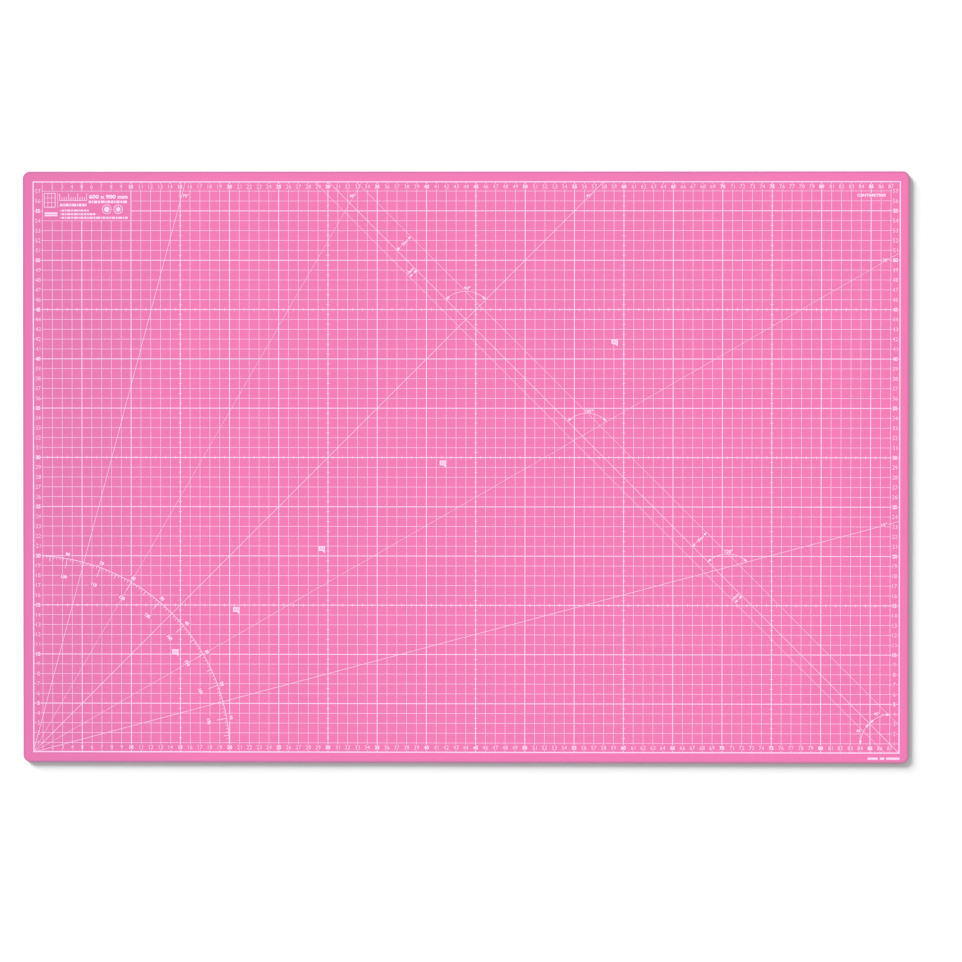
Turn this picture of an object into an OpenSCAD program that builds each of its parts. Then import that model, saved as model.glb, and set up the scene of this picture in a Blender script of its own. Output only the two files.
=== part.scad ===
// Self healing cutting mat: five plies bonded face to face, with a printed measuring
// pattern on the work surface. +X runs along the long side, +Y along the short side,
// +Z points up, and the origin is the centre of the underside.

/* [Mat] */
// Length of the mat along X
mat_length = 899; // [450:1:1200]
// Width of the mat along Y
mat_width = 600; // [450:1:900]
// Radius of the four die-cut corners
corner_radius = 7.5; // [2:0.5:20]

/* [Plies] */
// Thickness of each soft surface ply, top and bottom
surface_ply = 0.9; // [0.5:0.1:1.5]
// Thickness of each tie ply between a surface ply and the core
tie_ply = 0.3; // [0.2:0.1:0.5]
// Thickness of the stiff core ply
core_thickness = 0.6; // [0.4:0.1:1.2]

/* [Printed grid] */
// Thickness of the ink film
ink = 0.05; // [0.02:0.01:0.1]
// Smallest bare margin outside the printed border
margin = 8; // [5:1:25]
// How far the print sits off the mat's centre along X
print_shift = 0.6; // [0:0.05:2]
// Width of the border line
border_line = 1.2; // [0.6:0.1:1.6]
// Width of the five-centimetre grid lines
grid_line = 0.8; // [0.4:0.1:1.2]
// Height of the scale numerals
numeral_height = 4.2; // [3:0.2:6]

/* [Printed guides] */
// Width of the 15, 45 and 75 degree lines and of the diagonal
angle_line = 0.5; // [0.4:0.1:0.8]
// Width of the 30 and 60 degree lines and of the seam allowance lines
fine_line = 0.3; // [0.2:0.1:0.4]
// Distance of the wide seam allowance line from the diagonal
wide_seam = 20; // [12:1:25]
// Distance of the narrow seam allowance line from the diagonal
narrow_seam = 10; // [5:0.5:11]
// Radius of the protractor's arc
protractor_radius = 200; // [150:10:250]
// Radius of the small angle arcs
arc_radius = 29; // [20:1:35]
// Width of the small angle arcs
arc_line = 0.5; // [0.3:0.1:0.8]

/* [Hidden] */
$fn = 96;

// Heights of the underside of each ply, from the bottom up
lower_tie_z = surface_ply;
core_z = lower_tie_z + tie_ply;
upper_tie_z = core_z + core_thickness;
top_ply_z = upper_tie_z + tie_ply;
work_surface_z = top_ply_z + surface_ply;

// The printed border measures a whole number of centimetres each way, over its outer edges
cell = 10;
major_step = 5;
columns = floor((mat_length - 2 * margin) / cell);
rows = floor((mat_width - 2 * margin) / cell);
print_length = columns * cell;
print_width = rows * cell;
print_corner = [print_shift - print_length / 2, -print_width / 2];
reach = print_length + print_width;

// Numerals are built from seven straight strokes, named as on a segment display
numeral_width = 0.55 * numeral_height;
numeral_stroke = 0.17 * numeral_height;
numeral_pitch = 0.72 * numeral_height;
numeral_clearance = 0.8;
SEGMENTS = ["abcdef", "bc", "abdeg", "abcdg", "bcfg", "acdfg", "acdefg", "abc", "abcdefg", "abcdfg"];

ANGLES = [15, 30, 45, 60, 75];
// Corner, in millimetres from the border's lower left, of each ISO A sheet from A6 to A2
PAPER_SIZES = [[148, 105], [210, 148], [297, 210], [420, 297], [594, 420]];
paper_mark = [6.4, 5.8];
// Middle of each small angle arc, in grid cells from the border's lower left
ARC_CENTRES = [[44, 44], [56.3, 31.7], [70.6, 17.4]];
// The double arc in the lower right corner is a little larger and starts inside the border
corner_arc_radius = arc_radius + 3;
corner_arc_inset = 8;
arrow_length = 4;
arrow_width = 2.4;
panel_columns = 9;
panel_rows = 3;
PINK = "#f47ab7";
TIE = "#a2919a";
INK = "#ffd5f3";

function whole(n) = floor(n + 0.001);

// ---- building blocks ----

// A flat plate with true round corners
module ply(thickness) {
    long = mat_length - 2 * corner_radius;
    wide = mat_width - 2 * corner_radius;
    linear_extrude(thickness) union() {
        square([long, mat_width], center = true);
        square([mat_length, wide], center = true);
        for (x = [-long / 2, long / 2], y = [-wide / 2, wide / 2])
            translate([x, y]) circle(corner_radius);
    }
}

// Lifts a flat pattern, drawn from the border's lower left corner, to a film on the work surface
module film() {
    translate([print_corner[0], print_corner[1], work_surface_z])
        linear_extrude(ink) children();
}

// A straight stroke from one point to another
module stroke(from, to, width) {
    run = to - from;
    translate(from) rotate(atan2(run[1], run[0]))
        translate([0, -width / 2]) square([norm(run), width]);
}

// Part of a ring, between two angles
module ring_arc(radius, width, start, end) {
    steps = max(1, ceil((end - start) / 45));
    far = 1.5 * (radius + width);
    intersection() {
        difference() {
            circle(radius + width / 2);
            circle(radius - width / 2);
        }
        polygon([[0, 0], for (i = [0:steps]) let (a = start + (end - start) * i / steps)
            far * [cos(a), sin(a)]]);
    }
}

// An arrowhead with its point at the origin, pointing along +X
module arrowhead() {
    polygon([[0, 0], [-arrow_length, arrow_width / 2], [-arrow_length, -arrow_width / 2]]);
}

module digit(value) {
    w = numeral_width - numeral_stroke;
    h = numeral_height - numeral_stroke;
    s = numeral_stroke;
    bars = [["a", [0, h], [w, s]], ["b", [w, h / 2], [s, h / 2 + s]], ["c", [w, 0], [s, h / 2 + s]],
            ["d", [0, 0], [w, s]], ["e", [0, 0], [s, h / 2 + s]], ["f", [0, h / 2], [s, h / 2 + s]],
            ["g", [0, h / 2], [w, s]]];
    for (bar = bars, name = SEGMENTS[value])
        if (bar[0] == name) translate(bar[1]) square(bar[2]);
}

// A whole number from 1 to 99, centred on the origin
module numeral(value) {
    tens = whole(value / 10);
    count = tens > 0 ? 2 : 1;
    run = numeral_width + (count - 1) * numeral_pitch;
    translate([-run / 2, -numeral_height / 2]) {
        if (tens > 0) digit(tens);
        translate([(count - 1) * numeral_pitch, 0]) digit(value - 10 * tens);
    }
}

// Puts its children at the middle of every numbered fifth centimetre, all round the border
module at_scale_marks() {
    band = 0.54 * cell;
    for (i = [major_step:major_step:columns - 1], y = [band, print_width - band]) {
        $value = i;
        translate([i * cell, y]) children();
    }
    for (j = [major_step:major_step:rows - 1], x = [band, print_length - band]) {
        $value = j;
        translate([x, j * cell]) children();
    }
}

// ---- printed patterns, drawn from the border's lower left corner ----

module border_pattern() {
    difference() {
        square([print_length, print_width]);
        inside_border();
    }
}

module inside_border() {
    translate([border_line, border_line])
        square([print_length - 2 * border_line, print_width - 2 * border_line]);
}

// The blank panel at the upper left, one cell in from the border
module label_panel_area() {
    panel = [panel_columns * cell - grid_line / 2, panel_rows * cell];
    translate([cell, print_width - cell - panel[1]]) square(panel);
}

module major_grid_pattern() {
    difference() {
        intersection() {
            inside_border();
            union() {
                for (i = [major_step:major_step:columns - 1])
                    stroke([i * cell, 0], [i * cell, print_width], grid_line);
                for (j = [major_step:major_step:rows - 1])
                    stroke([0, j * cell], [print_length, j * cell], grid_line);
            }
        }
        at_scale_marks()
            square([1.4 * numeral_height, numeral_height] + 2 * numeral_clearance * [1, 1],
                   center = true);
        label_panel_area();
    }
}

module numeral_pattern() {
    at_scale_marks() numeral($value);
}

module angle_pattern() {
    intersection() {
        inside_border();
        union() {
            for (a = ANGLES)
                stroke([0, 0], reach * [cos(a), sin(a)], a % 30 == 0 ? fine_line : angle_line);
            stroke([print_length, 0], [print_length - print_width, print_width], angle_line);
        }
    }
}

module seam_pattern() {
    intersection() {
        inside_border();
        union() {
            for (allowance = [wide_seam, -narrow_seam]) {
                shift = [allowance * sqrt(2), 0];
                stroke([print_length, 0] + shift, [print_length - print_width, print_width] + shift,
                       fine_line);
            }
        }
    }
}

module protractor_pattern() {
    ring_arc(protractor_radius, angle_line, 3, 87);
    for (a = [5:5:85]) {
        tick = a % 10 == 0 ? cell : cell / 2;
        rotate(a) translate([protractor_radius - tick, -angle_line / 2])
            square([tick, angle_line]);
    }
}

module arc_pattern() {
    for (c = ARC_CENTRES) translate(c * cell) {
        ring_arc(arc_radius, arc_line, 55, 125);
        for (side = [0, 1]) mirror([side, 0]) rotate(45)
            translate([arc_radius, arrow_length * 0.8]) rotate(-94) arrowhead();
    }
    translate([print_length - corner_arc_inset, corner_arc_inset]) {
        ring_arc(corner_arc_radius, arc_line, 98, 172);
        rotate(94.5) translate([corner_arc_radius, -arrow_length / 2]) rotate(-90) arrowhead();
        rotate(175.5) translate([corner_arc_radius, arrow_length / 2]) rotate(90) arrowhead();
    }
}

module paper_pattern() {
    for (p = PAPER_SIZES)
        translate(p - paper_mark) square(paper_mark);
}

// Ruled bars and two round badges, with no words
module label_pattern() {
    left = 2 * cell;
    top = print_width - 1.7 * cell;
    bar_gap = 4.2;
    for (row = [0:3])
        translate([left, top - row * bar_gap]) square([(3.4 - 0.5 * (row % 2)) * cell, 1.4]);
    for (x = [7.4, 8.6])
        translate([x * cell, print_width - 3 * cell]) difference() {
            circle(4.5);
            circle(3.4);
        }
}

// ---- one module for each piece ----

module top_surface_ply() color(PINK) translate([0, 0, top_ply_z]) ply(surface_ply);

module upper_tie_ply() color(TIE) translate([0, 0, upper_tie_z]) ply(tie_ply);

module core_ply() color("#9d9a9b") translate([0, 0, core_z]) ply(core_thickness);

module lower_tie_ply() color(TIE) translate([0, 0, lower_tie_z]) ply(tie_ply);

module bottom_surface_ply() color(PINK) ply(surface_ply);

module border_print() color(INK) film() border_pattern();

module major_grid_print() color(INK) film() major_grid_pattern();

module numeral_print() color(INK) film() numeral_pattern();

module angle_line_print() color(INK) film() difference() {
    angle_pattern();
    major_grid_pattern();
    numeral_pattern();
}

module seam_line_print() color(INK) film() difference() {
    seam_pattern();
    major_grid_pattern();
    numeral_pattern();
    angle_pattern();
}

module protractor_print() color(INK) film() difference() {
    protractor_pattern();
    major_grid_pattern();
    angle_pattern();
}

module arc_mark_print() color(INK) film() difference() {
    arc_pattern();
    major_grid_pattern();
    numeral_pattern();
    angle_pattern();
    seam_pattern();
}

module paper_size_print() color(INK) film() difference() {
    paper_pattern();
    major_grid_pattern();
}

module label_panel_print() color(INK) film() label_pattern();

top_surface_ply();
upper_tie_ply();
core_ply();
lower_tie_ply();
bottom_surface_ply();
border_print();
major_grid_print();
numeral_print();
angle_line_print();
seam_line_print();
protractor_print();
arc_mark_print();
paper_size_print();
label_panel_print();
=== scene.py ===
import math
from functools import lru_cache
from itertools import cycle

import bpy
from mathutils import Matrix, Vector
from mathutils.geometry import delaunay_2d_cdt


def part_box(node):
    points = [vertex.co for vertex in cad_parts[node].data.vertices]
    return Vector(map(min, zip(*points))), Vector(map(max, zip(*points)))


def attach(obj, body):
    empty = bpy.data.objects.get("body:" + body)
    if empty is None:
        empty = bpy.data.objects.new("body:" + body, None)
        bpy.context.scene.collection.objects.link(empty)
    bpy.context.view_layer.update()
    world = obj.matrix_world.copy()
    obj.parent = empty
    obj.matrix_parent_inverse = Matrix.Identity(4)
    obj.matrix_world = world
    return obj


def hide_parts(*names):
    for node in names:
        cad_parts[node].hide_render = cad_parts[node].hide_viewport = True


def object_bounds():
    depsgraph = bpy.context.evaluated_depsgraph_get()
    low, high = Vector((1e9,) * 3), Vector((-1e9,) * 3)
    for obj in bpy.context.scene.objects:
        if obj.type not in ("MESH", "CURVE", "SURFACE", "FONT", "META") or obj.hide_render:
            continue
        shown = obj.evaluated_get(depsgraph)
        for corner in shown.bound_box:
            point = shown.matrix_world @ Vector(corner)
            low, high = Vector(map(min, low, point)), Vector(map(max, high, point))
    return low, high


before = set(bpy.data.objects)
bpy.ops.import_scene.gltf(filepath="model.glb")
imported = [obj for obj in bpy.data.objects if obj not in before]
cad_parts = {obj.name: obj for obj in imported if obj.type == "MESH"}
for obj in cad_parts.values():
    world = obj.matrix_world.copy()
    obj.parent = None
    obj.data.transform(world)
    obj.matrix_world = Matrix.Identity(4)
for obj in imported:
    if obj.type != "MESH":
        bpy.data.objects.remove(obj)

# Blender works in metres
MM = 0.001
CAD_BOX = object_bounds()

# ---- widths and lengths of the print, in millimetres ----
CELL = 10
BORDER_LINE = 1.2
BOLD_LINE = 0.82
THIN_LINE = 0.41
ANGLE_LINE = 0.45
FINE_LINE = 0.28
HALF_MARK_LENGTH = 3.4
HALF_MARK_LINE = 0.42
NUMERAL_BAND = 5.4
NUMERAL_HEIGHT = 4.1
NUMERAL_CLEARANCE = 0.7
WIDE_SEAM = 20
NARROW_SEAM = 10
PROTRACTOR_RADIUS = 200
PROTRACTOR_LINE = 0.58
DEGREE_TICK_LINE = 0.42
PANEL = (10, 540, 100, 570)

# ---- every how many cells the bold lines and the rows of half marks come, and angles in degrees ----
BOLD_EVERY = 5
HALF_MARKS_EVERY = 15
ANGLES = (15, 30, 45, 60, 75)

# ---- lettering: how far strokes are thickened, in units of the font, and how outlines are drawn ----
REGULAR_WEIGHT = -0.006
LABEL_WEIGHT = 0.03
BOLD_WEIGHT = 0.05
LETTER_STEPS = 3
FIGURE_STRETCH = 0.95
SLIVER = 1e-7

# ---- where the print lies, from the frame ----
BORDER_LOW, BORDER_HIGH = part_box("border_print")
PRINT_LENGTH = round((BORDER_HIGH.x - BORDER_LOW.x) / MM, 3)
PRINT_WIDTH = round((BORDER_HIGH.y - BORDER_LOW.y) / MM, 3)
COLUMNS = round(PRINT_LENGTH / CELL)
ROWS = round(PRINT_WIDTH / CELL)
INK_TOP = BORDER_HIGH.z
INK_SUNK = 0.01 * MM
INK_BOTTOM = BORDER_LOW.z - INK_SUNK
INK_SLOPE = 0.02


# ---- flat shapes, in millimetres from the border's lower left corner ----

def box_shape(left, low, right, high):
    return [(left, low), (right, low), (right, high), (left, high)]


def bar(start, end, width):
    """A straight stroke of a given width."""
    along = Vector(end) - Vector(start)
    across = Vector((-along.y, along.x)).normalized() * width / 2
    corners = (Vector(start) - across, Vector(end) - across, Vector(end) + across, Vector(start) + across)
    return [tuple(corner) for corner in corners]


def point_at(centre, radius, angle):
    turn = math.radians(angle)
    return (centre[0] + radius * math.cos(turn), centre[1] + radius * math.sin(turn))


def ring(centre, radius, width, start, end, steps):
    """Part of a ring, between two angles in degrees."""
    turns = [start + (end - start) * step / steps for step in range(steps + 1)]
    outer = [point_at(centre, radius + width / 2, turn) for turn in turns]
    inner = [point_at(centre, radius - width / 2, turn) for turn in reversed(turns)]
    return outer + inner


def disc(centre, radius, steps=32):
    return [point_at(centre, radius, 360 * step / steps) for step in range(steps)]


def full_ring(centre, radius, width, steps=32):
    """A whole ring, as two halves that share their ends."""
    half = steps // 2
    return [ring(centre, radius, width, 0, 180, half), ring(centre, radius, width, 180, 360, half)]


def arrowhead(tip, heading, length, width):
    """A filled triangle with its point at tip, heading along an angle in degrees."""
    back = point_at(tip, -length, heading)
    return [tip, point_at(back, width / 2, heading + 90), point_at(back, width / 2, heading - 90)]


def area(shape):
    """Twice the area of a shape, positive where it runs counterclockwise."""
    return sum(a[0] * b[1] - b[0] * a[1] for a, b in zip(shape, shape[1:] + shape[:1]))


@lru_cache(maxsize=None)
def glyphs(text, weight):
    """The filled outlines of a short text, set on its own centre line, in units of the font."""
    curve = bpy.data.curves.new("lettering", "FONT")
    curve.body = text
    curve.align_x = "CENTER"
    curve.fill_mode = "FRONT"
    curve.resolution_u = LETTER_STEPS
    curve.offset = weight
    holder = bpy.data.objects.new("lettering", curve)
    mesh = holder.to_mesh()
    corners = [(round(vertex.co.x, 3), round(vertex.co.y, 3)) for vertex in mesh.vertices]
    shapes = [[corners[index] for index in face.vertices] for face in mesh.polygons]
    shapes = [shape for shape in shapes if abs(area(shape)) > SLIVER]
    holder.to_mesh_clear()
    bpy.data.objects.remove(holder)
    bpy.data.curves.remove(curve)
    return shapes


def extent(shapes):
    xs = [x for shape in shapes for x, y in shape]
    ys = [y for shape in shapes for x, y in shape]
    return min(xs), min(ys), max(xs), max(ys)


def lettering(text, at, height, weight=REGULAR_WEIGHT, turn=0, length=None):
    """Text of a given figure height, centred on a point, turned by an angle and drawn out to a length."""
    shapes = glyphs(text, weight)
    figure = extent(glyphs("8", weight))
    own = extent(shapes)
    size = height / (figure[3] - figure[1])
    stretch = length / size / (own[2] - own[0]) if length else FIGURE_STRETCH
    middle = ((own[0] + own[2]) / 2, (figure[1] + figure[3]) / 2)
    cos, sin = math.cos(math.radians(turn)), math.sin(math.radians(turn))

    def moved(point):
        x = (point[0] - middle[0]) * size * stretch
        y = (point[1] - middle[1]) * size
        return (at[0] + x * cos - y * sin, at[1] + x * sin + y * cos)

    return [[moved(point) for point in shape] for shape in shapes]


def clearing(at, width, height, turn=0):
    """The rectangle that lines leave free round a label."""
    half = point_at((0, 0), width / 2, turn)
    return bar((at[0] - half[0], at[1] - half[1]), (at[0] + half[0], at[1] + half[1]), height)


# ---- the printed patterns ----

def border_shapes():
    long, wide = PRINT_LENGTH, PRINT_WIDTH
    return [
        box_shape(0, 0, long, BORDER_LINE),
        box_shape(0, wide - BORDER_LINE, long, wide),
        box_shape(0, 0, BORDER_LINE, wide),
        box_shape(long - BORDER_LINE, 0, long, wide),
    ]


def grid_lines(bold):
    """Every grid line that is bold, or every one that isn't."""
    width = BOLD_LINE if bold else THIN_LINE
    shapes = []
    for column in range(1, COLUMNS):
        if (column % BOLD_EVERY == 0) == bold:
            shapes.append(bar((column * CELL, 0), (column * CELL, PRINT_WIDTH), width))
    for row in range(1, ROWS):
        if (row % BOLD_EVERY == 0) == bold:
            shapes.append(bar((0, row * CELL), (PRINT_LENGTH, row * CELL), width))
    return shapes


def scale_places():
    """Each number round the border, with where it stands."""
    places = []
    for column in range(1, COLUMNS):
        for y in (NUMERAL_BAND, PRINT_WIDTH - NUMERAL_BAND):
            places.append((column, (column * CELL, y)))
    for row in range(1, ROWS):
        for x in (NUMERAL_BAND, PRINT_LENGTH - NUMERAL_BAND):
            places.append((row, (x, row * CELL)))
    return places


def numeral(value, at):
    weight = BOLD_WEIGHT if value % BOLD_EVERY == 0 else REGULAR_WEIGHT
    return lettering(str(value), at, NUMERAL_HEIGHT, weight)


def numeral_shapes(bold):
    shapes = []
    for value, at in scale_places():
        if (value % BOLD_EVERY == 0) == bold:
            shapes += numeral(value, at)
    return shapes


def numeral_clearings():
    shapes = []
    for value, at in scale_places():
        left, low, right, high = extent(numeral(value, at))
        room = NUMERAL_CLEARANCE
        shapes.append(box_shape(left - room, low - room, right + room, high + room))
    return shapes


def half_mark_shapes():
    """Short cross strokes at the half centimetres, along every third bold line."""
    reach = HALF_MARK_LENGTH / 2
    shapes = []
    for x in range(HALF_MARKS_EVERY * CELL, int(PRINT_LENGTH), HALF_MARKS_EVERY * CELL):
        for row in range(1, ROWS - 1):
            y = (row + 0.5) * CELL
            shapes.append(bar((x - reach, y), (x + reach, y), HALF_MARK_LINE))
    for y in range(HALF_MARKS_EVERY * CELL, int(PRINT_WIDTH), HALF_MARKS_EVERY * CELL):
        for column in range(1, COLUMNS - 1):
            x = (column + 0.5) * CELL
            shapes.append(bar((x, y - reach), (x, y + reach), HALF_MARK_LINE))
    return shapes


def angle_shapes():
    """The lines that rise from the lower left corner, and the diagonal from the lower right one."""
    shapes = []
    for angle in ANGLES:
        turn = math.radians(angle)
        reach = min(PRINT_LENGTH / math.cos(turn), PRINT_WIDTH / math.sin(turn))
        width = FINE_LINE if angle % 30 == 0 else ANGLE_LINE
        shapes.append(bar((0, 0), point_at((0, 0), reach, angle), width))
    diagonal_end = (PRINT_LENGTH - PRINT_WIDTH, PRINT_WIDTH)
    shapes.append(bar((PRINT_LENGTH, 0), diagonal_end, ANGLE_LINE))
    return shapes


ANGLE_LABEL_SIZE = (6.2, 3.2)
# Place and turn of the label of each angle
ANGLE_LABELS = {75: (155.6, 565.3, 0), 60: (325.2, 565.3, 0), 45: (564.6, 565.3, 0),
                30: (864.8, 500, 0), 15: (864.2, 232.2, 15)}


def angle_labels():
    shapes = []
    for angle, (x, y, turn) in ANGLE_LABELS.items():
        length, height = ANGLE_LABEL_SIZE
        shapes += lettering(f"{angle}°", (x, y), height, LABEL_WEIGHT, turn, length)
    return shapes


def seam_shapes():
    """The two lines beside the diagonal, at the seam allowances."""
    wide = WIDE_SEAM * math.sqrt(2)
    narrow = NARROW_SEAM * math.sqrt(2)
    return [
        bar((PRINT_LENGTH, wide), (PRINT_LENGTH - PRINT_WIDTH + wide, PRINT_WIDTH), FINE_LINE),
        bar((PRINT_LENGTH - narrow, 0), (PRINT_LENGTH - PRINT_WIDTH - narrow, PRINT_WIDTH), FINE_LINE),
    ]


# Where each seam allowance is dimensioned, on the diagonal, and which way the dimension runs
WIDE_MARKS = ((370, 510), (670, 210))
NARROW_MARKS = ((390, 490), (720, 160))
MARK_LABEL_SIZE = (8.0, 3.2)
MARK_LABEL_ASIDE = 4.0
MARK_ARROW = (3.2, 2.8)
MARK_LINE_INSET = 1
WIDE_LABEL_SHIFT = 1.5


def seam_mark(start, heading, length):
    """A dimension line with an arrowhead at each end."""
    end = point_at(start, length, heading)
    return [
        bar(point_at(start, MARK_LINE_INSET, heading), point_at(end, -MARK_LINE_INSET, heading), FINE_LINE),
        arrowhead(end, heading, *MARK_ARROW),
        arrowhead(start, heading + 180, *MARK_ARROW),
    ]


def seam_mark_shapes():
    shapes = []
    for start in WIDE_MARKS:
        shapes += seam_mark(start, 45, WIDE_SEAM)
    for start in NARROW_MARKS:
        shapes += seam_mark(start, 225, NARROW_SEAM)
    return shapes


def seam_label_places():
    """Text and middle of each seam allowance label, all turned to run across the diagonal."""
    reach = WIDE_SEAM / 2 + WIDE_LABEL_SHIFT
    places = [(WIDE_SEAM, point_at(start, reach, 45)) for start in WIDE_MARKS]
    for start in NARROW_MARKS:
        middle = point_at(start, NARROW_SEAM / 2, 225)
        places.append((NARROW_SEAM, point_at(middle, MARK_LABEL_ASIDE, 135)))
    return places


def seam_labels():
    shapes = []
    for value, at in seam_label_places():
        length, height = MARK_LABEL_SIZE
        shapes += lettering(f"{value}mm", at, height, LABEL_WEIGHT, 45, length)
    return shapes


PROTRACTOR_START = 3
PROTRACTOR_END = 87
DEGREE_TICK = 2.5
FIVE_DEGREE_TICK = 5.0
TEN_DEGREE_TICK = 10.0


def protractor_shapes():
    """The arc about the lower left corner, with ticks that point inwards."""
    centre = (0, 0)
    start, end = PROTRACTOR_START, PROTRACTOR_END
    shapes = [ring(centre, PROTRACTOR_RADIUS, PROTRACTOR_LINE, start, end, end - start)]
    for degree in range(start, end + 1):
        length, width = DEGREE_TICK, DEGREE_TICK_LINE
        if degree % 5 == 0:
            length, width = FIVE_DEGREE_TICK, PROTRACTOR_LINE
        if degree % 10 == 0:
            length = TEN_DEGREE_TICK
        outer = point_at(centre, PROTRACTOR_RADIUS, degree)
        shapes.append(bar(point_at(centre, PROTRACTOR_RADIUS - length, degree), outer, width))
    return shapes


PROTRACTOR_LABEL_HEIGHT = 3.7
OUTER_LABEL_RADIUS = 204.5
INNER_LABEL_RADIUS = 181.5
# Size of the gap round a protractor figure of two digits, and of three
TWO_DIGIT_GAP = (6.4, 4.3)
THREE_DIGIT_GAP = (9.0, 4.3)


def protractor_label_places():
    """Value, place and turn of each protractor figure: the outer ones run up, the inner ones down."""
    places = []
    for degree in range(10, 90, 10):
        places.append((degree, point_at((0, 0), OUTER_LABEL_RADIUS, degree), degree - 90))
        places.append((180 - degree, point_at((0, 0), INNER_LABEL_RADIUS, degree), degree - 90))
    return places


def protractor_labels():
    shapes = []
    for value, at, turn in protractor_label_places():
        shapes += lettering(str(value), at, PROTRACTOR_LABEL_HEIGHT, BOLD_WEIGHT, turn)
    return shapes


# Middle and radius of each small arc, its figure, and where the figure stands from the middle
ARCS = {90: ((439.9, 439.4), 29.1, (1.5, 32.2)), 105: ((562.9, 316.4), 28.5, (1.9, 30.6)),
        120: ((705.3, 173.4), 29.0, (1.4, 31.5))}
ARC_LABEL_SIZES = {45: (6.5, 3.0), 90: (6.6, 3.5), 105: (8.4, 3.5), 120: (8.4, 3.5)}
ARC_ARROW = (4.5, 2.7)
CORNER_MIDDLE = (PRINT_LENGTH - 8, 8)
CORNER_RADIUS = 32
# First and last angle of each arc in the corner
CORNER_SPANS = ((92, 134.8), (135.2, 179))
CORNER_LABELS = ((839.1, 23.2), (857.0, 40.3))


def arrow_arc(centre, radius, start, end):
    """An arc with an arrowhead at each end."""
    length, width = ARC_ARROW
    lean = math.degrees(length / 2 / radius)
    return [
        ring(centre, radius, ANGLE_LINE, start + lean, end - lean, 24),
        arrowhead(point_at(centre, radius, start), start - 90 + lean, length, width),
        arrowhead(point_at(centre, radius, end), end + 90 - lean, length, width),
    ]


def arc_shapes():
    """The small arcs on the diagonal, and the two that meet in the lower right corner."""
    shapes = []
    for centre, radius, _ in ARCS.values():
        shapes += arrow_arc(centre, radius, 45, 135)
    for start, end in CORNER_SPANS:
        shapes += arrow_arc(CORNER_MIDDLE, CORNER_RADIUS, start, end)
    return shapes


def arc_label_places():
    places = []
    for figure, (centre, _, offset) in ARCS.items():
        places.append((figure, (centre[0] + offset[0], centre[1] + offset[1])))
    for at in CORNER_LABELS:
        places.append((45, at))
    return places


def arc_labels():
    shapes = []
    for figure, at in arc_label_places():
        length, height = ARC_LABEL_SIZES[figure]
        shapes += lettering(f"{figure}°", at, height, LABEL_WEIGHT, length=length)
    return shapes


# Size of each ISO A sheet, laid on its side from the lower left corner
PAPER_SIZES = {"A6": (148, 105), "A5": (210, 148), "A4": (297, 210), "A3": (420, 297), "A2": (594, 420)}
PAPER_BLOCK = (6.5, 4.9)
PAPER_TAIL = (3.0, 2.2)
PAPER_LABEL_SIZE = (4.6, 2.8)


def paper_shapes():
    """A block in the corner of each sheet, with a tail that runs down the sheet's edge."""
    width, height = PAPER_BLOCK
    reach, drop = PAPER_TAIL
    shapes = []
    for x, y in PAPER_SIZES.values():
        shapes.append(box_shape(x - width, y - height, x, y))
        shapes.append([(x - reach, y - height), (x, y - height - drop), (x, y - height)])
    return shapes


def paper_knockouts():
    """The sheet names, left out of the blocks so that the vinyl shows through."""
    shapes = []
    length, height = PAPER_LABEL_SIZE
    for name, (x, y) in PAPER_SIZES.items():
        middle = (x - PAPER_BLOCK[0] / 2, y - PAPER_BLOCK[1] / 2)
        shapes += lettering(name, middle, height, length=length)
    return shapes


DASH_LENGTHS = (2.6, 1.5, 3.4, 2.0, 4.1, 1.2, 2.9)
DASH_GAP = 0.7


def dashes(left, right, y, height):
    """A row of short bars of uneven length, in place of a line of words."""
    shapes = []
    start = left
    for length in cycle(DASH_LENGTHS):
        if start >= right - length / 2:
            return shapes
        end = min(start + length, right)
        shapes.append(box_shape(start, y - height / 2, end, y + height / 2))
        start = end + DASH_GAP


EMBLEM = (11.8, 553.8, 23.0, 567.8)
EMBLEM_LINE = 0.7
EMBLEM_INNER_LINE = 0.4


def emblem_shapes():
    """A plain picture of a ruled mat: a frame with a few crossing lines."""
    left, low, right, high = EMBLEM
    line, inner_line = EMBLEM_LINE, EMBLEM_INNER_LINE
    shapes = [
        bar((left, low), (right, low), line),
        bar((left, high), (right, high), line),
        bar((left, low - line / 2), (left, high + line / 2), line),
        bar((right, low - line / 2), (right, high + line / 2), line),
    ]
    for third in (1, 2):
        x = left + (right - left) * third / 3
        y = low + (high - low) * third / 3
        shapes.append(bar((x, low), (x, high), inner_line))
        shapes.append(bar((left, y), (right, y), inner_line))
    return shapes


# Left end, right end and height above the border of the ruler's base line
RULER = (27.6, 55.0, 560.6)
RULER_LINE = 0.6
RULER_GAPS = 12
RULER_LONG_TICK = 7.0
RULER_SHORT_TICK = 3.6


def ruler_shapes():
    """A short ruler, with its ticks standing on a base line."""
    left, right, low = RULER
    line = RULER_LINE
    shapes = [bar((left - line / 2, low), (right + line / 2, low), line)]
    for tick in range(RULER_GAPS + 1):
        x = left + (right - left) * tick / RULER_GAPS
        rise = RULER_LONG_TICK if tick % 4 == 0 else RULER_SHORT_TICK
        shapes.append(bar((x, low), (x, low + rise), line))
    return shapes


HEXAGON_BADGE = (75.4, 551.6)
WHEEL_BADGE = (87.1, 551.6)
BADGE_RADIUS = 4.5
BADGE_LINE = 0.6
HEXAGON_RADIUS = 3.1
HUB_RADIUS = 2.3
DOT_CIRCLE_RADIUS = 3.3
DOT_RADIUS = 0.5


def dot(centre):
    return disc(centre, DOT_RADIUS, 8)


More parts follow.
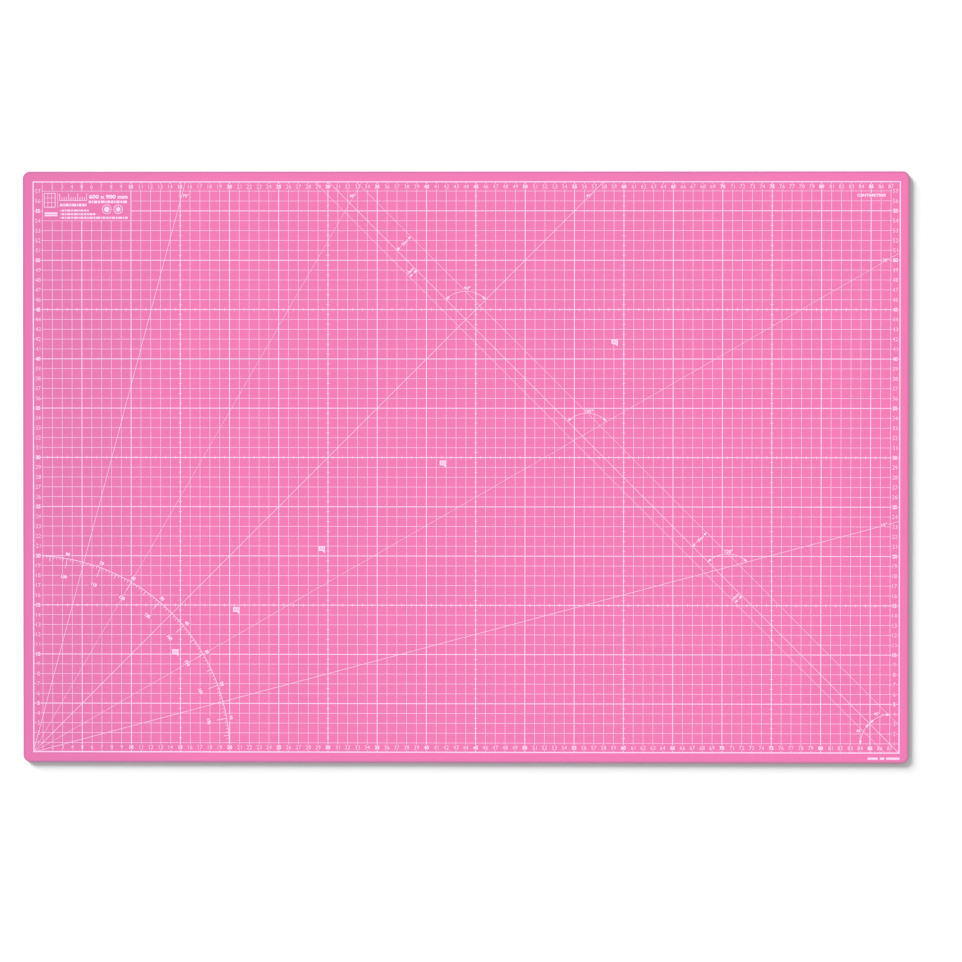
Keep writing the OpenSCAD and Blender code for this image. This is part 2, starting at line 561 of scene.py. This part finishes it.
def badge_shapes():
    """Two round badges, one with a hexagon and one with a ring of dots."""
    shapes = []
    for centre in (HEXAGON_BADGE, WHEEL_BADGE):
        shapes += full_ring(centre, BADGE_RADIUS, BADGE_LINE)
    shapes.append(disc(HEXAGON_BADGE, HEXAGON_RADIUS, 6))
    shapes.append(disc(WHEEL_BADGE, HUB_RADIUS, 16))
    for spoke in range(0, 360, 45):
        shapes.append(dot(point_at(WHEEL_BADGE, DOT_CIRCLE_RADIUS, spoke)))
    return shapes


PANEL_DIVIDER = ((25.6, 553.2), (25.6, 568.4))
DIVIDER_LINE = 0.4
PANEL_STRIPS = ((12.2, 544.6, 25.4, 546.3), (12.2, 546.8, 25.4, 548.6))
PANEL_SIZE_AT = (77, 564.4)
PANEL_SIZE_HEIGHT = 4.2
PANEL_SIZE_LENGTH = 39.5
BULLET_X = 28.4
# Left end, right end, height above the border and thickness of each row of bars in the panel
PANEL_ROWS = ((27.9, 54.9, 556.0, 2.7), (57.0, 96.6, 559.2, 2.6), (29.6, 57.9, 550.4, 1.9),
              (29.6, 64.9, 546.7, 1.9), (29.6, 97.1, 543.1, 1.9))
BULLETED_ROWS = PANEL_ROWS[2:]


def panel_shapes():
    """The label panel, with a ruler, rows of bars and badges where the real one has words."""
    shapes = [bar(*PANEL_DIVIDER, DIVIDER_LINE)]
    shapes += [box_shape(*strip) for strip in PANEL_STRIPS]
    shapes += emblem_shapes()
    shapes += ruler_shapes()
    shapes += badge_shapes()
    for left, right, y, height in PANEL_ROWS:
        shapes += dashes(left, right, y, height)
    for _, _, y, _ in BULLETED_ROWS:
        shapes.append(dot((BULLET_X, y)))
    size_text = "600 x 900 mm"
    shapes += lettering(size_text, PANEL_SIZE_AT, PANEL_SIZE_HEIGHT, BOLD_WEIGHT, length=PANEL_SIZE_LENGTH)
    return shapes


def panel_frame():
    """The thin rules that close the panel off from the grid."""
    left, low, right, high = PANEL
    return [
        bar((left, low), (right, low), THIN_LINE),
        bar((left, high), (right, high), THIN_LINE),
        bar((left, low), (left, high), THIN_LINE),
        bar((right, low), (right, high), BOLD_LINE),
    ]


UNIT_LABEL_AT = (850.2, 565.7)
UNIT_LABEL_SIZE = (29, 3.0)


def unit_shapes():
    length, height = UNIT_LABEL_SIZE
    return lettering("CENTIMETRES", UNIT_LABEL_AT, height, BOLD_WEIGHT, length=length)


FOOT_BARS = ((847.6, 858.0), (860.0, 864.6), (866.4, 880.0))
FOOT_BAR_Y = -5.1
FOOT_BAR_HEIGHT = 2.3


def foot_shapes():
    """Three short bars below the border, at the right."""
    low, high = FOOT_BAR_Y - FOOT_BAR_HEIGHT / 2, FOOT_BAR_Y + FOOT_BAR_HEIGHT / 2
    return [box_shape(left, low, right, high) for left, right in FOOT_BARS]


# How much longer and higher than a label its clearing is
UNIT_LABEL_ROOM = (1, 1)
ANGLE_LABEL_ROOM = (0.8, 0.6)
MARK_LABEL_ROOM = (1, 0.8)
ARC_LABEL_ROOM = (1, 0.6)


def label_clearing(at, size, room, turn=0):
    return clearing(at, size[0] + room[0], size[1] + room[1], turn)


def label_clearings():
    """Where every line gives way to a label."""
    shapes = [label_clearing(UNIT_LABEL_AT, UNIT_LABEL_SIZE, UNIT_LABEL_ROOM)]
    for x, y, turn in ANGLE_LABELS.values():
        shapes.append(label_clearing((x, y), ANGLE_LABEL_SIZE, ANGLE_LABEL_ROOM, turn))
    for _, at in seam_label_places():
        shapes.append(label_clearing(at, MARK_LABEL_SIZE, MARK_LABEL_ROOM, 45))
    for value, at, turn in protractor_label_places():
        gap = TWO_DIGIT_GAP if value < 100 else THREE_DIGIT_GAP
        shapes.append(clearing(at, *gap, turn))
    for figure, at in arc_label_places():
        shapes.append(label_clearing(at, ARC_LABEL_SIZES[figure], ARC_LABEL_ROOM))
    return shapes


# ---- from flat shapes to films of ink ----

FILL_INSIDE = 1
CUT_TOLERANCE = 1e-4
SHARPEST_CORNER = 0.2


def cut_apart(prints, clearings):
    """Splits shapes where they cross, so that each spot of ink belongs to one piece, the first in order.

    clearings maps the name of a pattern of gaps to its shapes and to the pieces that it leaves whole.
    """
    patterns = dict(prints)
    for name, (shapes, spared) in clearings.items():
        patterns[name] = shapes
    points, outlines, owners = [], [], []
    for owner, shapes in patterns.items():
        for shape in shapes:
            outlines.append(list(range(len(points), len(points) + len(shape))))
            points += [Vector(point) for point in shape]
            owners.append(owner)
    made = delaunay_2d_cdt(points, [], outlines, FILL_INSIDE, CUT_TOLERANCE, True)
    places, faces, sources = made[0], made[2], made[5]
    pieces = {name: [] for name in prints}
    for face, source in zip(faces, sources):
        found = {owners[index] for index in source}
        gaps = [clearings[name][1] for name in found if name in clearings]
        for name in prints:
            if name in found and all(name in spared for spared in gaps):
                pieces[name].append([tuple(places[index]) for index in face])
                break
    return pieces


def weld(shapes):
    """Points and faces of shapes that share corners, each face running counterclockwise."""
    index, points, faces = {}, [], []
    for shape in shapes:
        face = []
        for point in shape:
            key = (round(point[0], 4), round(point[1], 4))
            if key not in index:
                index[key] = len(points)
                points.append(point)
            if index[key] not in face:
                face.append(index[key])
        if len(face) < 3:
            continue
        faces.append(face if area([points[corner] for corner in face]) > 0 else face[::-1])
    return points, faces


def outward(points, edges):
    """Which way each corner on the rim moves as the rim spreads by one unit; the sharpest ones stay."""
    push = {}
    for a, b in edges:
        run = Vector(points[b]) - Vector(points[a])
        normal = Vector((run.y, -run.x)).normalized()
        for corner in (a, b):
            push.setdefault(corner, []).append(normal)
    spread = {}
    for corner, normals in push.items():
        total = sum(normals, Vector((0, 0)))
        share = total.length_squared / len(normals)
        spread[corner] = total / share if share > SHARPEST_CORNER else Vector((0, 0))
    return spread


def film(name, shapes):
    """A closed film of ink that slopes down to the vinyl at its rim."""
    points, faces = weld(shapes)
    sides = {(face[i], face[(i + 1) % len(face)]) for face in faces for i in range(len(face))}
    rim = [side for side in sorted(sides) if side[::-1] not in sides]
    spread = outward(points, rim)
    count = len(points)

    def placed(point, height):
        return (BORDER_LOW.x + point[0] * MM, BORDER_LOW.y + point[1] * MM, height)

    corners = [placed(point, INK_TOP) for point in points]
    for number, point in enumerate(points):
        foot = Vector(point) + spread.get(number, Vector((0, 0))) * INK_SLOPE
        corners.append(placed(foot, INK_BOTTOM))
    walls = [(b, a, a + count, b + count) for a, b in rim]
    under = [[corner + count for corner in reversed(face)] for face in faces]
    mesh = bpy.data.meshes.new(name)
    mesh.from_pydata(corners, [], faces + under + walls)
    mesh.update()
    piece = bpy.data.objects.new(name, mesh)
    bpy.context.scene.collection.objects.link(piece)
    return piece


# ---- plies ----

PLY_CORNER = 7.5 * MM
CORNER_STEPS = 16
TOP_ROUND = 0.35 * MM
FOOT_CHAMFER = 0.06 * MM
RIM = 0.5 * MM
ROUND_STEPS = 6


def plate_outline(half_x, half_y, inset):
    """The mat's outline, drawn in by an inset."""
    radius = PLY_CORNER - inset
    points = []
    for quarter, (sx, sy) in enumerate(((1, 1), (-1, 1), (-1, -1), (1, -1))):
        centre = (sx * (half_x - PLY_CORNER), sy * (half_y - PLY_CORNER))
        for step in range(CORNER_STEPS + 1):
            points.append(point_at(centre, radius, 90 * (quarter + step / CORNER_STEPS)))
    return points


def plate(name, node, profile):
    """A ply in a CAD ply's box. The profile gives inset and height of each ring, from below to above."""
    low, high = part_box(node)
    middle = (low + high) / 2
    half = (high - low) / 2
    corners, faces = [], []
    size = 4 * (CORNER_STEPS + 1)
    for inset, height in profile:
        outline = plate_outline(half.x, half.y, inset)
        corners += [(middle.x + x, middle.y + y, height) for x, y in outline]
    for level in range(len(profile) - 1):
        base = level * size
        for number in range(size):
            after = (number + 1) % size
            faces.append((base + number, base + after, base + size + after, base + size + number))
    faces.append(tuple(reversed(range(size))))
    faces.append(tuple(range((len(profile) - 1) * size, len(profile) * size)))
    mesh = bpy.data.meshes.new(name)
    mesh.from_pydata(corners, [], faces)
    mesh.shade_smooth()
    mesh.update()
    piece = bpy.data.objects.new(name, mesh)
    bpy.context.scene.collection.objects.link(piece)
    return piece


def rounded_edge(height):
    """Rings of a rounded upper edge that ends at a height."""
    rings = []
    for step in range(ROUND_STEPS + 1):
        turn = math.pi / 2 * step / ROUND_STEPS
        rings.append((TOP_ROUND * (1 - math.cos(turn)), height - TOP_ROUND * (1 - math.sin(turn))))
    return rings + [(RIM, height)]


def top_ply():
    low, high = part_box("top_surface_ply")
    foot = [(RIM, low.z), (FOOT_CHAMFER, low.z), (0, low.z + FOOT_CHAMFER)]
    return plate("top_ply", "top_surface_ply", foot + rounded_edge(high.z))


def bottom_ply():
    low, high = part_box("bottom_surface_ply")
    upright = [(RIM, high.z), (FOOT_CHAMFER, high.z), (0, high.z - FOOT_CHAMFER)]
    turned = [(inset, low.z + high.z - height) for inset, height in rounded_edge(high.z)]
    return plate("bottom_ply", "bottom_surface_ply", turned[::-1] + upright[::-1])


# ---- materials ----

class Shader:
    """A material's node tree, with short ways to add and join nodes."""

    def __init__(self, name):
        self.material = bpy.data.materials.new(name)
        self.material.use_nodes = True
        self.tree = self.material.node_tree
        self.tree.nodes.clear()
        self.surface = self.add("ShaderNodeBsdfPrincipled")
        output = self.add("ShaderNodeOutputMaterial")
        self.join(self.surface.outputs["BSDF"], output.inputs["Surface"])
        self.place = self.add("ShaderNodeTexCoord").outputs["Object"]

    def add(self, kind, **settings):
        node = self.tree.nodes.new(kind)
        for name, value in settings.items():
            setattr(node, name, value)
        return node

    def join(self, output, socket):
        self.tree.links.new(output, socket)

    def noise(self, size, detail=3.0, stretch=None):
        """Noise whose features are about a given size in metres."""
        node = self.add("ShaderNodeTexNoise")
        node.inputs["Scale"].default_value = 1 / size
        node.inputs["Detail"].default_value = detail
        place = self.place
        if stretch:
            mapping = self.add("ShaderNodeMapping")
            mapping.inputs["Scale"].default_value = stretch
            self.join(place, mapping.inputs["Vector"])
            place = mapping.outputs["Vector"]
        self.join(place, node.inputs["Vector"])
        return node.outputs["Fac"]

    def span(self, value, low, high, to_low, to_high):
        """The value, moved from one range to another and held inside it."""
        node = self.add("ShaderNodeMapRange")
        for name, number in (("From Min", low), ("From Max", high), ("To Min", to_low), ("To Max", to_high)):
            node.inputs[name].default_value = number
        self.join(value, node.inputs["Value"])
        return node.outputs["Result"]

    def combine(self, first, second, operation="ADD"):
        """Two values, added or put together by another operation; a plain number may stand for either."""
        node = self.add("ShaderNodeMath", operation=operation)
        for socket, value in zip(node.inputs, (first, second)):
            if isinstance(value, (int, float)):
                socket.default_value = value
            else:
                self.join(value, socket)
        return node.outputs[0]

    def mix(self, share, first, second, blend="MIX"):
        """A colour between two, each of them a colour or another node's output."""
        node = self.add("ShaderNodeMix", data_type="RGBA", blend_type=blend)
        self.join(share, node.inputs["Factor"])
        for socket, value in ((node.inputs[6], first), (node.inputs[7], second)):
            if isinstance(value, tuple):
                socket.default_value = (*value, 1)
            else:
                self.join(value, socket)
        return node.outputs[2]

    def rim(self, half_x, half_y, split):
        """How far a point lies outside the mat's outline, negative inside it."""
        out_x = self.combine(self.combine(split.outputs["X"], 0, "ABSOLUTE"), PLY_CORNER - half_x)
        out_y = self.combine(self.combine(split.outputs["Y"], 0, "ABSOLUTE"), PLY_CORNER - half_y)
        far_x = self.combine(out_x, 0, "MAXIMUM")
        far_y = self.combine(out_y, 0, "MAXIMUM")
        square = self.combine(self.combine(far_x, far_x, "MULTIPLY"), self.combine(far_y, far_y, "MULTIPLY"))
        corner = self.combine(square, 0.5, "POWER")
        near = self.combine(self.combine(out_x, out_y, "MAXIMUM"), 0, "MINIMUM")
        return self.combine(self.combine(corner, near), -PLY_CORNER)

    def bump(self, height, distance, strength=1.0):
        node = self.add("ShaderNodeBump")
        node.inputs["Strength"].default_value = strength
        node.inputs["Distance"].default_value = distance
        self.join(height, node.inputs["Height"])
        self.join(node.outputs["Normal"], self.surface.inputs["Normal"])


# Painted light and shade: the vinyl is a darker pink at the left end and a lighter pink further right
PINK_LEFT_SHADED = (0.624, 0.146, 0.345)
PINK_RIGHT_LIT = (0.708, 0.154, 0.363)
PINK_DEEP = (0.560, 0.105, 0.290)
# Painted shade: a darker band along the mat's outline, starting 2.6 mm inside it and full from 1.3 mm in to
# the edge
PINK_EDGE_SHADE = (0.480, 0.140, 0.300)
EDGE_SHADE_SPAN = (-2.6 * MM, -1.3 * MM)
INK_COLOUR = (0.775, 0.540, 0.720)
INK_THIN = (0.730, 0.420, 0.620)
TIE_COLOUR = (0.36, 0.28, 0.32)
TIE_DARK = (0.30, 0.22, 0.26)
CORE_COLOUR = (0.33, 0.315, 0.32)
CORE_DARK = (0.26, 0.245, 0.25)
# How far in from the left end the painted light changes, from darker at the left to lighter towards the
# right
PAINTED_LIGHT_START = 40 * MM
PAINTED_LIGHT_END = 180 * MM
# Size of each kind of mark in the vinyl
CLOUD_SIZE = 90 * MM
SPECKLE_SIZE = 0.7 * MM
GRAIN_SIZE = 0.45 * MM
PEBBLE_SIZE = 1.6 * MM
SCUFF_SIZE = 20 * MM
GRAIN_DEPTH = 0.04 * MM
# Size of each kind of mark in the ink
THIN_SPOT_SIZE = 1.1 * MM
WORN_PATCH_SIZE = 50 * MM
INK_GLOSS_SIZE = 0.8 * MM
INK_GRAIN_SIZE = 0.5 * MM
INK_GRAIN_DEPTH = 0.01 * MM
# Size of each kind of mark on the cut plies
CUT_SIZE = 0.9 * MM
CUT_DEPTH = 0.04 * MM
MOTTLE_SIZE = 6 * MM


def vinyl_material(name):
    """Calendered PVC: fine pebble grain and faint clouding, with painted light that leaves the left end
    darker and painted shade that darkens the band along the edge.
    """
    shader = Shader(name)
    low, high = CAD_BOX
    split = shader.add("ShaderNodeSeparateXYZ")
    shader.join(shader.place, split.inputs[0])
    # Painted light: the colour runs from the darker pink at the left end to the lighter one further right
    across = shader.span(split.outputs["X"], low.x + PAINTED_LIGHT_START, low.x + PAINTED_LIGHT_END, 0, 1)
    clouds = shader.span(shader.noise(CLOUD_SIZE, 4), 0.3, 0.7, -0.25, 0.25)
    tone = shader.combine(across, clouds)
    colour = shader.mix(tone, PINK_LEFT_SHADED, PINK_RIGHT_LIT)
    speckle = shader.span(shader.noise(SPECKLE_SIZE, 2), 0.35, 0.75, 0, 0.35)
    colour = shader.mix(speckle, colour, PINK_DEEP)
    rim = shader.rim((high.x - low.x) / 2, (high.y - low.y) / 2, split)
    # Painted shade along the edge: the colour darkens within the last few millimetres inside the outline
    colour = shader.mix(shader.span(rim, *EDGE_SHADE_SPAN, 0, 1), colour, PINK_EDGE_SHADE)
    shader.join(colour, shader.surface.inputs["Base Color"])
    grain = shader.noise(GRAIN_SIZE, 2)
    pebble = shader.noise(PEBBLE_SIZE, 3)
    scuffs = shader.noise(SCUFF_SIZE, 5, (1.0, 0.25, 1.0))
    rough = shader.span(grain, 0.3, 0.7, 0.46, 0.60)
    rough = shader.combine(rough, shader.span(scuffs, 0.35, 0.75, -0.05, 0.06))
    shader.join(rough, shader.surface.inputs["Roughness"])
    shader.bump(shader.combine(grain, pebble), GRAIN_DEPTH, 0.8)
    return shader.material


def ink_material(name):
    """Screen-printed ink: a dense film that thins here and there, so that the vinyl tints it."""
    shader = Shader(name)
    thin = shader.span(shader.noise(THIN_SPOT_SIZE, 4), 0.48, 0.72, 0, 1)
    worn = shader.span(shader.noise(WORN_PATCH_SIZE, 4), 0.45, 0.75, 0, 0.35)
    share = shader.combine(shader.combine(thin, 0.5, "MULTIPLY"), worn)
    shader.join(shader.mix(share, INK_COLOUR, INK_THIN), shader.surface.inputs["Base Color"])
    rough = shader.span(shader.noise(INK_GLOSS_SIZE, 2), 0.3, 0.7, 0.34, 0.50)
    shader.join(rough, shader.surface.inputs["Roughness"])
    shader.bump(shader.noise(INK_GRAIN_SIZE, 2), INK_GRAIN_DEPTH, 0.5)
    return shader.material


def ply_material(name, colour, darker):
    """The inside of the laminate, as its cut edge shows it: a fine grain drawn out along the cut."""
    shader = Shader(name)
    cut = shader.noise(CUT_SIZE, 4, (1.0, 1.0, 0.12))
    mottle = shader.noise(MOTTLE_SIZE, 3)
    share = shader.combine(shader.span(cut, 0.3, 0.7, 0, 0.6), shader.span(mottle, 0.3, 0.7, 0, 0.4))
    shader.join(shader.mix(share, colour, darker), shader.surface.inputs["Base Color"])
    shader.join(shader.span(cut, 0.3, 0.7, 0.55, 0.75), shader.surface.inputs["Roughness"])
    shader.bump(cut, CUT_DEPTH, 0.7)
    return shader.material


def dress(piece, material, slot_name, *nodes):
    """Finishes a piece: its material, the body that it rides on, and the nodes it stands for, which it
    hides. slot_name is not used.
    """
    piece.data.materials.clear()
    piece.data.materials.append(material)
    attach(piece, "root")
    if nodes:
        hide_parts(*nodes)


def dress_node(node, material):
    """Gives a CAD node that stays visible its material."""
    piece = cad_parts[node]
    if not piece.material_slots:
        piece.data.materials.append(material)
    for slot in piece.material_slots:
        slot.material = material


# ---- the object ----

PRINTS = {
    "printed_border": border_shapes(),
    "printed_bold_numerals": numeral_shapes(True),
    "printed_numerals": numeral_shapes(False),
    "printed_paper_marks": paper_shapes(),
    "printed_angle_labels": angle_labels(),
    "printed_seam_labels": seam_labels(),
    "printed_protractor_labels": protractor_labels(),
    "printed_arc_labels": arc_labels(),
    "printed_unit_label": unit_shapes(),
    "printed_panel": panel_shapes(),
    "printed_foot_bars": foot_shapes(),
    "printed_arc_marks": arc_shapes(),
    "printed_seam_marks": seam_mark_shapes(),
    "printed_bold_grid": grid_lines(True),
    "printed_panel_frame": panel_frame(),
    "printed_grid": grid_lines(False),
    "printed_angle_lines": angle_shapes(),
    "printed_protractor": protractor_shapes(),
    "printed_seam_lines": seam_shapes(),
    "printed_half_marks": half_mark_shapes(),
}
STANDS_FOR = {
    "printed_border": "border_print",
    "printed_bold_numerals": "numeral_print",
    "printed_paper_marks": "paper_size_print",
    "printed_panel": "label_panel_print",
    "printed_arc_marks": "arc_mark_print",
    "printed_bold_grid": "major_grid_print",
    "printed_angle_lines": "angle_line_print",
    "printed_protractor": "protractor_print",
    "printed_seam_lines": "seam_line_print",
}
LETTERED = {name for name in PRINTS if "label" in name or "numerals" in name} | {"printed_panel"}
GRID = {"printed_bold_grid", "printed_grid", "printed_half_marks"}
CLEARINGS = {
    "knockouts": (paper_knockouts(), set()),
    "labels": (label_clearings(), LETTERED | {"printed_border", "printed_foot_bars"}),
    "numerals": (numeral_clearings(), set(PRINTS) - GRID),
    "panel": ([box_shape(*PANEL)], set(PRINTS) - GRID),
}

VINYL = vinyl_material("surface_vinyl_look")
INK = ink_material("print_ink_look")
TIE = ply_material("tie_vinyl_look", TIE_COLOUR, TIE_DARK)
CORE = ply_material("core_board_look", CORE_COLOUR, CORE_DARK)

dress(top_ply(), VINYL, "surface_vinyl", "top_surface_ply")
dress(bottom_ply(), VINYL, "surface_vinyl", "bottom_surface_ply")
dress_node("upper_tie_ply", TIE)
dress_node("lower_tie_ply", TIE)
dress_node("core_ply", CORE)
for piece_name, piece_shapes in cut_apart(PRINTS, CLEARINGS).items():
    stands_for = [STANDS_FOR[piece_name]] if piece_name in STANDS_FOR else []
    dress(film(piece_name, piece_shapes), INK, "print_ink", *stands_for)


# ---- floor, light and camera ----

FLOOR_HALF = 6.0
FLOOR_DROP = 0.02 * MM
FLOOR_ALBEDO = 0.80
FLOOR_MOTTLE = 0.985
FLOOR_MOTTLE_SIZE = 0.4
SUN_AZIMUTH = 135
SUN_ELEVATION = 15.7
SUN_SPREAD = 28
SUN_STRENGTH = 9.2
SKY_STRENGTH = 0.56
CAMERA_HEIGHT = 3.0
CAMERA_SIDE = 0.0498
CAMERA_FORWARD = 0.0252
CAMERA_TILT = (-0.7436, 0.6482, 0.0360)
CAMERA_LENS = 110.57
SENSOR_WIDTH = 36


def make_floor():
    mesh = bpy.data.meshes.new("floor")
    level = CAD_BOX[0].z - FLOOR_DROP
    half = FLOOR_HALF
    corners = [(-half, -half, level), (half, -half, level), (half, half, level), (-half, half, level)]
    mesh.from_pydata(corners, [], [(0, 1, 2, 3)])
    floor = bpy.data.objects.new("floor", mesh)
    bpy.context.scene.collection.objects.link(floor)
    shader = Shader("pale_floor")
    tone = shader.span(shader.noise(FLOOR_MOTTLE_SIZE, 2), 0.3, 0.7, 0, 1)
    pale = (FLOOR_ALBEDO,) * 3
    dim = (FLOOR_ALBEDO * FLOOR_MOTTLE,) * 3
    shader.join(shader.mix(tone, pale, dim), shader.surface.inputs["Base Color"])
    shader.surface.inputs["Roughness"].default_value = 0.9
    shader.surface.inputs["Specular IOR Level"].default_value = 0.1
    mesh.materials.append(shader.material)


def make_light():
    data = bpy.data.lights.new("key_light", "SUN")
    data.energy = SUN_STRENGTH
    data.angle = math.radians(SUN_SPREAD)
    key = bpy.data.objects.new("key_light", data)
    # The key shades and casts shadows, but leaves no glare on the mat when it is seen against the light
    key.visible_glossy = False
    bpy.context.scene.collection.objects.link(key)
    azimuth, elevation = math.radians(SUN_AZIMUTH), math.radians(SUN_ELEVATION)
    flat = math.cos(elevation)
    towards = Vector((flat * math.cos(azimuth), flat * math.sin(azimuth), math.sin(elevation)))
    key.rotation_mode = "QUATERNION"
    key.rotation_quaternion = towards.to_track_quat("Z", "Y")
    world = bpy.data.worlds.new("soft_room")
    world.use_nodes = True
    backdrop = world.node_tree.nodes["Background"]
    backdrop.inputs["Color"].default_value = (1, 1, 1, 1)
    backdrop.inputs["Strength"].default_value = SKY_STRENGTH
    bpy.context.scene.world = world


def make_camera():
    data = bpy.data.cameras.new("camera")
    data.lens = CAMERA_LENS
    data.sensor_width = SENSOR_WIDTH
    data.clip_start = 0.1
    data.clip_end = 50
    camera = bpy.data.objects.new("camera", data)
    camera.location = (CAMERA_SIDE, CAMERA_FORWARD, CAMERA_HEIGHT)
    camera.rotation_euler = [math.radians(angle) for angle in CAMERA_TILT]
    bpy.context.scene.collection.objects.link(camera)
    bpy.context.scene.camera = camera


make_floor()
make_light()
make_camera()
bpy.context.scene.view_settings.view_transform = "Standard"
